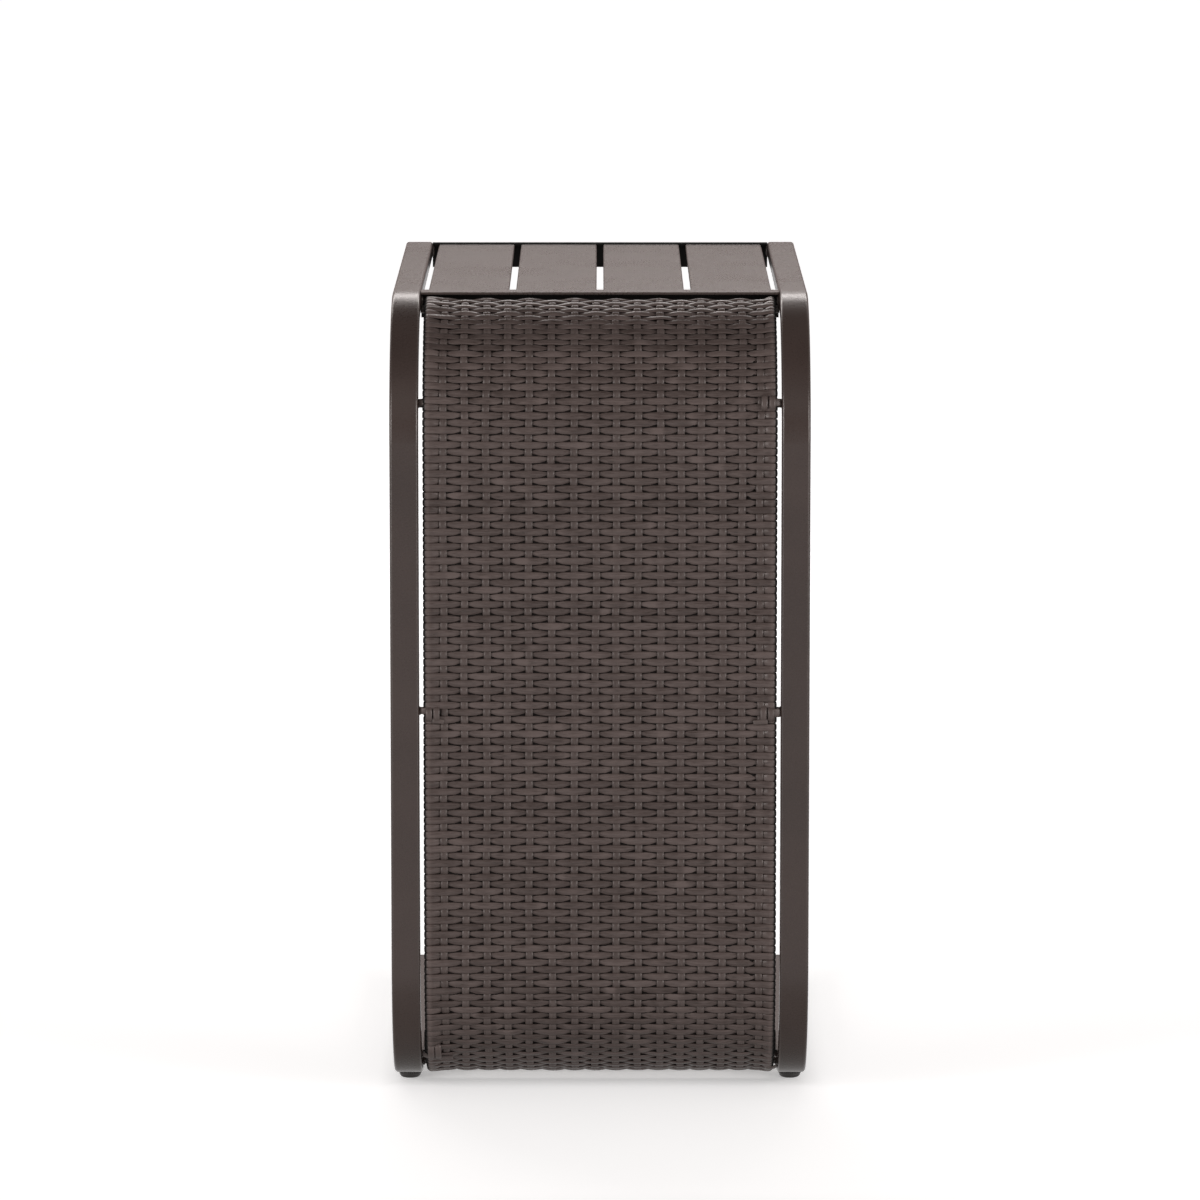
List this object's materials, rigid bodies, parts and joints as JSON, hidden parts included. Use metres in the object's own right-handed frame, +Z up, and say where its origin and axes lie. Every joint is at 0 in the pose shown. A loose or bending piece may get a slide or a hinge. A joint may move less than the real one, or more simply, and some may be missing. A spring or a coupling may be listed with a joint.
{
  "type": "c-shaped side table",
  "caption": "Narrow C-shaped side table: bent tube side frames carry a slatted top, a woven resin front panel and an open base on screw-in levelling feet.",
  "frame": {"origin": "centre of the footprint, on the floor", "axes": "+Z up, +X to the right of someone facing the woven panel, +Y from the woven panel towards the open side of the C"},
  "size_m": [0.305, 0.47, 0.5915],
  "materials": {
    "powder_coat": "satin fine-texture powder coat, dark brown",
    "resin_weave": "satin resin strands, dark brown",
    "black_primer": "satin black dip primer",
    "black_plastic": "matte moulded",
    "foot_rubber": "ribbed moulded",
    "zinc_steel": "zinc plated"
  },
  "bodies": {
    "table_frame": {"base_end_cap_left": "black_plastic", "base_end_cap_right": "black_plastic", "base_front_rail": "black_primer", "base_rear_rail": "black_primer", "cross_rod_lower": "powder_coat", "cross_rod_middle": "powder_coat", "cross_rod_top": "powder_coat", "cross_rod_upper": "powder_coat", "foot_inserts": "zinc_steel", "front_cross_slat": "powder_coat", "front_slat_rail": "black_primer", "left_side_frame": "powder_coat", "panel_edge_rod_left": "powder_coat", "panel_edge_rod_right": "powder_coat", "rear_slat_rail": "black_primer", "right_side_frame": "powder_coat", "slat_1": "powder_coat", "slat_2": "powder_coat", "slat_3": "powder_coat", "slat_4": "powder_coat", "top_end_cap_left": "black_plastic", "top_end_cap_right": "black_plastic", "woven_panel": "resin_weave"},
    "front_left_foot_stud": {"foot_stud_front_left": "zinc_steel"},
    "front_left_foot_pad": {"foot_pad_front_left": "foot_rubber"},
    "front_right_foot_stud": {"foot_stud_front_right": "zinc_steel"},
    "front_right_foot_pad": {"foot_pad_front_right": "foot_rubber"},
    "rear_left_foot_stud": {"foot_stud_rear_left": "zinc_steel"},
    "rear_left_foot_pad": {"foot_pad_rear_left": "foot_rubber"},
    "rear_right_foot_stud": {"foot_stud_rear_right": "zinc_steel"},
    "rear_right_foot_pad": {"foot_pad_rear_right": "foot_rubber"}
  },
  "joints": [
    {"name": "front_left_foot_height", "type": "slide", "parent": "table_frame", "child": "front_left_foot_stud", "axis": [0, 0, -1], "range_m": [0, 0.005]},
    {"name": "front_left_foot_turn", "type": "hinge", "parent": "front_left_foot_stud", "child": "front_left_foot_pad", "pos_m": [-0.142, -0.1265, 0.003], "axis": [0, 0, -1], "range_deg": [-2, 1442]},
    {"name": "front_right_foot_height", "type": "slide", "parent": "table_frame", "child": "front_right_foot_stud", "axis": [0, 0, -1], "range_m": [0, 0.005]},
    {"name": "front_right_foot_turn", "type": "hinge", "parent": "front_right_foot_stud", "child": "front_right_foot_pad", "pos_m": [0.142, -0.1265, 0.003], "axis": [0, 0, -1], "range_deg": [-2, 1442]},
    {"name": "rear_left_foot_height", "type": "slide", "parent": "table_frame", "child": "rear_left_foot_stud", "axis": [0, 0, -1], "range_m": [0, 0.005]},
    {"name": "rear_left_foot_turn", "type": "hinge", "parent": "rear_left_foot_stud", "child": "rear_left_foot_pad", "pos_m": [-0.142, 0.21, 0.003], "axis": [0, 0, -1], "range_deg": [-2, 1442]},
    {"name": "rear_right_foot_height", "type": "slide", "parent": "table_frame", "child": "rear_right_foot_stud", "axis": [0, 0, -1], "range_m": [0, 0.005]},
    {"name": "rear_right_foot_turn", "type": "hinge", "parent": "rear_right_foot_stud", "child": "rear_right_foot_pad", "pos_m": [0.142, 0.21, 0.003], "axis": [0, 0, -1], "range_deg": [-2, 1442]}
  ],
  "couplings": [
    {"joint": "front_left_foot_turn", "follows": "front_left_foot_height", "rad_per_m": 5026.5},
    {"joint": "front_right_foot_turn", "follows": "front_right_foot_height", "rad_per_m": 5026.5},
    {"joint": "rear_left_foot_turn", "follows": "rear_left_foot_height", "rad_per_m": 5026.5},
    {"joint": "rear_right_foot_turn", "follows": "rear_right_foot_height", "rad_per_m": 5026.5}
  ]
}
